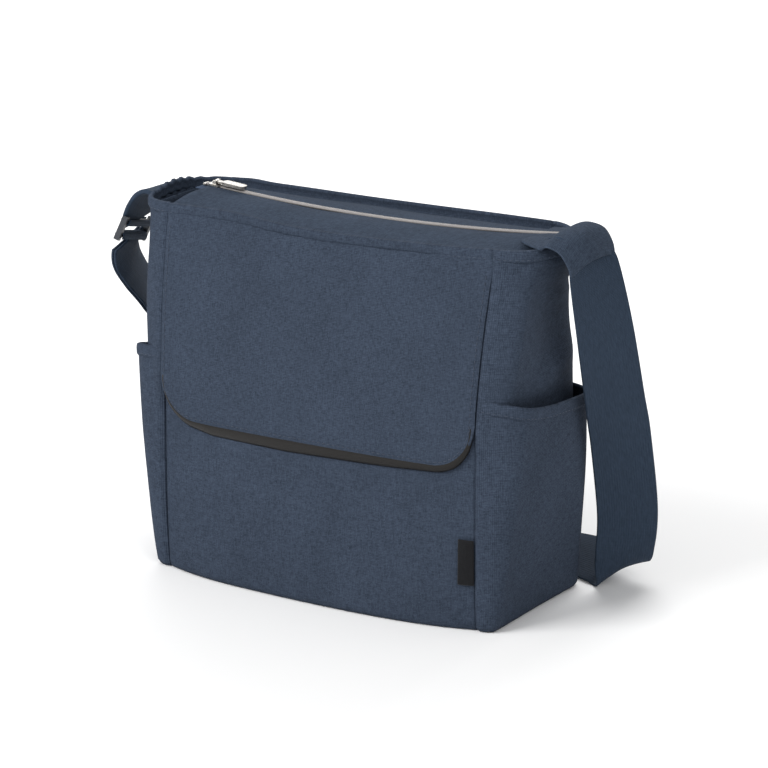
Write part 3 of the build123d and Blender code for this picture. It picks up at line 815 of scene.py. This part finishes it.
def band(route, width, thick, name, offset=0.0):
    """A webbing band along a route of (centre, width direction)."""
    centre = smooth_line([c for c, _ in route])
    across = smooth_line([w for _, w in route])
    along = unit(np.gradient(centre, axis=0))
    across = unit(across - along * (across * along).sum(1, keepdims=True))
    face = np.cross(along, across)
    w = np.sin(np.linspace(-1, 1, 17) * math.pi / 2) * width / 2
    lift = offset + thick / 2 - EDGE_CURL * (w / (width / 2)) ** 4
    surface = (centre[:, None] - across[:, None] * w[None, :, None]
               + face[:, None] * lift[None, :, None])
    length = np.concatenate([[0], np.linalg.norm(np.diff(centre, axis=0), axis=1).cumsum()])
    u = np.broadcast_to(w[None, :], surface.shape[:2])
    v = np.broadcast_to(length[:, None], surface.shape[:2])
    piece = cloth(name, surface, thick, webbing, flat_grain(u.copy(), v.copy()))
    return piece, length[-1]


STRAP_WIDTH, STRAP_THICK, UPPER_THICK = 50.0, 2.4, 4.2
DOUBLED = 6                # stations of the strap that the doubled length runs along
FOLD_R, FOLD_THICK = 3.6, 1.4
RING_AT, RING_PITCH = (-235.8, 0, 276.4), 14.0
RING_ALONG = (-0.299, -0.307, -0.904)
RING_ACROSS = (-0.234, 0.943, -0.242)
UPPER = [
    ((-192, 0, 315.5), (0, 1, 0)),
    ((-200.4, 0, 317.5), (0, 1, 0)),
    ((-207, 0, 316), (-0.05, 1, -0.05)),
    ((-214.5, 0.5, 311), (-0.1, 0.98, -0.12)),
    ((-222, 1.2, 303), (-0.15, 0.97, -0.17)),
    ((-228, 2, 294.5), (-0.2, 0.95, -0.22)),
    ((-232.75, 3.13, 285.6), RING_ACROSS),
]
STRAP = [
    ((-238.85, -3.13, 267.2), RING_ACROSS),
    ((-242, -0.5, 254), (-0.24, 0.94, -0.25)),
    ((-243.5, 8, 240), (-0.27, 0.92, -0.27)),
    ((-245, 25, 220), (-0.3, 0.9, -0.3)),
    ((-246, 48, 192), (-0.35, 0.85, -0.35)),
    ((-239, 71, 153), (-0.35, 0.8, -0.5)),
    ((-201, 102, 98), (-0.35, 0.8, -0.5)),
    ((-160, 113, 64), (-0.3, 0.75, -0.6)),
    ((-105, 117, 33), (-0.15, 0.9, -0.4)),
    ((-40, 116, 15), (0, 1, -0.1)),
    ((30, 114, 12), (0.1, 0.98, 0.15)),
    ((95, 112, 12), (0.2, 0.93, 0.22)),
    ((150, 107, 12), (0.3, 0.88, 0.35)),
    ((184, 96, 12.5), (0.45, 0.8, 0.4)),
    ((201, 87, 14), (0.66, 0.62, 0.415)),
    ((209, 80, 34), (0.72, 0.66, 0.18)),
    ((214.5, 75, 72), (0.76, 0.65, 0)),
    ((220, 55, 138.5), (0.695, 0.72, -0.04)),
    ((223.5, 40, 175), (0.6, 0.8, -0.08)),
    ((228, 15, 244.5), (0.47, 0.87, -0.12)),
    ((227, 0, 298), (0.33, 0.93, -0.16)),
    ((222, 0, 318), (0.15, 0.95, -0.1)),
    ((212, 0, 327), (0.05, 1, -0.02)),
    ((201, 0, 325.5), (0, 1, 0)),
]


def ring_fold(name, side):
    """Webbing turned round one bar of the ring."""
    along = unit(np.array(RING_ALONG))
    across = np.array(RING_ACROSS)
    across = unit(across - along * across.dot(along))
    face = np.cross(along, across)
    centre = np.array(RING_AT) + along * side * RING_PITCH / 2
    angle = np.radians(np.linspace(62, 298, 25))[:, None, None]
    w = (np.sin(np.linspace(-1, 1, 17) * math.pi / 2) * STRAP_WIDTH / 2)[None, :, None]
    radius = FOLD_R - 0.3 * (2 * w / STRAP_WIDTH) ** 6
    surface = (centre + across * w
               + radius * (along * side * np.cos(angle) + face * np.sin(angle)))
    return cloth(name, surface if side < 0 else surface[::-1], FOLD_THICK, webbing)


def end_tab():
    """Cloth dome over the right end of the mouth and the top of the strap."""
    ridge = smooth_line([(176, 0, 320.4), (187, 0, 322.0), (198.5, 0, 323.9), (203, 0, 327.9),
                         (210, 0, 330.9), (221, 0, 328.6), (228.3, 0, 319.0), (231, 0, 309.5)], 8)
    run = np.linspace(0, 1, len(ridge))[:, None]
    w = np.sin(np.linspace(-1, 1, 31) * math.pi / 2)[None, :]
    front = 35 - 8 * (2 * run - 1) ** 2
    back = 27 - 3 * (2 * run - 1) ** 2
    y = np.where(w < 0, w * front, w * back)
    droop = (11.5 * np.clip(-w, 0, 1) ** 2.4 + 4.0 * np.clip(w, 0, 1) ** 3) * np.sin(
        np.clip(run * 1.1, 0, 1) * math.pi / 2)
    pull = 9.0 * np.clip(-w, 0, 1) ** 2 * np.clip(run * 1.4 - 0.4, 0, 1)
    surface = np.stack([ridge[:, :1] - pull, y, ridge[:, 2:] - droop
                        + ripple(ridge[:, :1] + 0 * w, y, 9, 0.4, 0.6)], -1)
    return cloth("end_tab", surface, 2.2, closure_fabric)


def make_strap():
    """Webbing with its ring, adjuster and the tab over its right end."""
    for side, tag in ((-1, "upper"), (1, "lower")):
        finish_piece(ring_fold(f"ring_fold_{tag}", side), "strap", "webbing")
    upper, _ = band(UPPER, STRAP_WIDTH, UPPER_THICK, "strap_upper_web")
    finish_piece(upper, strap_bend, "webbing", "strap_upper", "strap_anchor_left")
    main, length = band(STRAP, STRAP_WIDTH, STRAP_THICK, "strap_web")
    finish_piece(main, strap_bend, "webbing", "strap_webbing", "strap_anchor_right")
    doubled, _ = band(STRAP[:DOUBLED], STRAP_WIDTH - 1, 2.2, "strap_doubled", offset=-3.0)
    finish_piece(doubled, "strap", "webbing", "strap_return")
    for name in ("strap_ring", "strap_adjuster"):
        paint(name, dark_plastic)

    piece = end_tab()
    finish_piece(piece, strap_bend, "closure_fabric", "zip_end_tab")


def paint(node, material):
    """A CAD node that stays keeps its shape and gets a finished material."""
    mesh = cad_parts[node].data
    mesh.materials.clear()
    mesh.materials.append(material)


LABEL_LEFT, LABEL_RIGHT, LABEL_BOTTOM, LABEL_TOP = 143.6, 156.8, 41.0, 79.0


def make_small_parts():
    for node, material in (("zip_slider", silver), ("zip_pull", silver), ("zip_stops", silver),
                           ("pocket_magnet", magnet_steel), ("flap_magnet", magnet_steel),
                           ("base_board", board_grey)):
        paint(node, material)
    # Folded side label at the right front seam, blank
    z = np.linspace(LABEL_BOTTOM, LABEL_TOP, 30)[:, None]
    x = np.linspace(LABEL_LEFT, LABEL_RIGHT, 12)[None, :]
    crown = 0.5 * np.sin((x - LABEL_LEFT) / (LABEL_RIGHT - LABEL_LEFT) * math.pi)
    y = -(body(z)[1] + belly(x, z) + 1.2 + crown)
    surface = np.stack([x + 0 * z, y, z + 0 * x], -1)
    finish_piece(cloth("side_label_cloth", surface, 0.8, label_cloth), "bag", "label", "side_label")


def make_lining():
    """Inner bag, a little inside the walls."""
    s = 0.5 - 0.5 * np.cos(np.linspace(0, 1, 25) * math.pi)
    z = np.linspace(8, 305, 32)
    rings = []
    for h in z:
        seam, depth, side = (float(v) for v in body(h))
        x, y, *_ = side_curve(seam - 4, depth - 12, side - 8, s)
        across = np.linspace(-(seam - 4), seam - 4, 25)[1:-1]
        ring = np.concatenate([np.stack([x, y], -1),
                               np.stack([-across, np.full(23, depth - 12)], -1),
                               np.stack([-x[::-1], y[::-1]], -1),
                               np.stack([across, np.full(23, 12 - depth)], -1)])
        rings.append(np.concatenate([ring, np.full((len(ring), 1), h)], 1))
    outer = np.array(rings)
    count, layers = outer.shape[1], outer.shape[0]
    inner = outer.copy()
    inner[..., :2] *= 0.985
    inner[0, :, 2] += 1.2
    points = np.concatenate([outer.reshape(-1, 3), inner.reshape(-1, 3)])
    faces = []
    for shift in (0, layers * count):
        for i in range(layers - 1):
            for j in range(count):
                a, b = shift + i * count + j, shift + i * count + (j + 1) % count
                faces.append([a, b, b + count, a + count])
        faces.append([shift + j for j in range(count)])
    last = (layers - 1) * count
    faces += [[last + j, last + (j + 1) % count, last + layers * count + (j + 1) % count,
               last + layers * count + j] for j in range(count)]
    piece = write("lining_bag", points, faces, lining_fabric,
                  flat_grain(points[:, 0] + points[:, 1], points[:, 2]))
    finish_piece(piece, "bag", "lining", "lining")


def make_facing():
    """Strip of outer cloth inside the mouth, gathered at the left end."""
    s = np.linspace(0, 1, 41)
    seam, depth, side = HEM_SEAM - 2, HEM_DEPTH - 3.4, HEM_SIDE - 3.6
    x, y, *_ = side_curve(seam, depth, side, 0.5 - 0.5 * np.cos(s * math.pi))
    across = np.linspace(-seam, seam, 61)[1:-1]
    ring = np.concatenate([np.stack([-x[::-1], y[::-1]], -1)[20:],
                           np.stack([across, np.full(59, -depth)], -1),
                           np.stack([x, y], -1),
                           np.stack([-across, np.full(59, depth)], -1),
                           np.stack([-x[::-1], y[::-1]], -1)[:21]])[::-1]
    step = np.linalg.norm(np.diff(ring, axis=0), axis=1)
    u = np.concatenate([[0], step.cumsum()])[None, :]
    t = np.linspace(0, 1, 14)[:, None]
    left = np.exp(-((ring[None, :, 0] + 187) / 16) ** 2)
    inward = 5 * left * t + 2.2 * left * np.sin(u / 4.2) * t
    grow = 1 - (inward + 0.8) / HEM_SIDE
    surface = np.stack([ring[None, :, 0] * grow, ring[None, :, 1] * (1 - 0.02 * left * t),
                        312 - 36 * t + 0 * u], -1)
    finish_piece(cloth("mouth_facing", surface, 1.4, side_fabric), "bag", "fabric")


make_walls()
make_base()
make_facing()
make_hems()
make_side_pockets()
make_flap()
make_closure()
make_coil()
make_strap()
make_small_parts()
make_lining()


# ------------------------------------------------------------- camera, light
def make_camera():
    """The photograph's view: azimuth from the front, elevation and roll."""
    azimuth, elevation, roll = (math.radians(v) for v in (33.94, 16.70, -1.28))
    target, distance = Vector((0.0226, 0.0, 0.17294)), 3.0
    forward = Vector((-math.sin(azimuth) * math.cos(elevation),
                      math.cos(azimuth) * math.cos(elevation), -math.sin(elevation)))
    right = Vector((math.cos(azimuth), math.sin(azimuth), 0.0))
    up = right.cross(forward)
    right, up = (math.cos(roll) * right + math.sin(roll) * up,
                 math.cos(roll) * up - math.sin(roll) * right)
    data = bpy.data.cameras.new("camera")
    data.sensor_width = 36.0
    data.lens = 167.34
    data.dof.use_dof = False
    data.clip_end = 50.0
    camera = bpy.data.objects.new("camera", data)
    turn = Matrix((right, up, -forward)).transposed().to_4x4()
    camera.matrix_world = Matrix.Translation(target - forward * distance) @ turn
    scene.collection.objects.link(camera)
    scene.camera = camera


def area_light(name, place, aim, size, power):
    data = bpy.data.lights.new(name, "AREA")
    data.shape = "RECTANGLE"
    data.size, data.size_y = size
    data.energy = power
    light = bpy.data.objects.new(name, data)
    light.location = place
    light.rotation_euler = (Vector(aim) - Vector(place)).to_track_quat("-Z", "Y").to_euler()
    scene.collection.objects.link(light)


def make_studio():
    """Pale floor and three soft lights."""
    half = 9.0
    floor = write("floor", np.array([(-half, -half, 0), (half, -half, 0), (half, half, 0),
                                     (-half, half, 0)]) / MM, [[0, 1, 2, 3]],
                  solid("floor_white", (0.92, 0.92, 0.92, 1.0), 0.9, grain=0.0, wear=0.0), mend=False)
    world = bpy.data.worlds.new("studio")
    scene.world = world
    world.use_nodes = True
    background = world.node_tree.nodes["Background"]
    background.inputs["Color"].default_value = (1.0, 1.0, 1.0, 1.0)
    background.inputs["Strength"].default_value = 0.55
    area_light("key", (-1.5, -2.5, 2.3), (0, 0, 0.15), (2.0, 1.6), 104)
    area_light("fill", (2.5, -1.5, 1.9), (0, 0, 0.15), (1.6, 1.6), 26)
    area_light("backdrop", (-1.5, 3.4, 3.0), (-1.5, 3.0, 0.0), (4.0, 2.5), 170)
    scene.view_settings.view_transform = "Standard"
    scene.view_settings.look = "None"


make_camera()
make_studio()
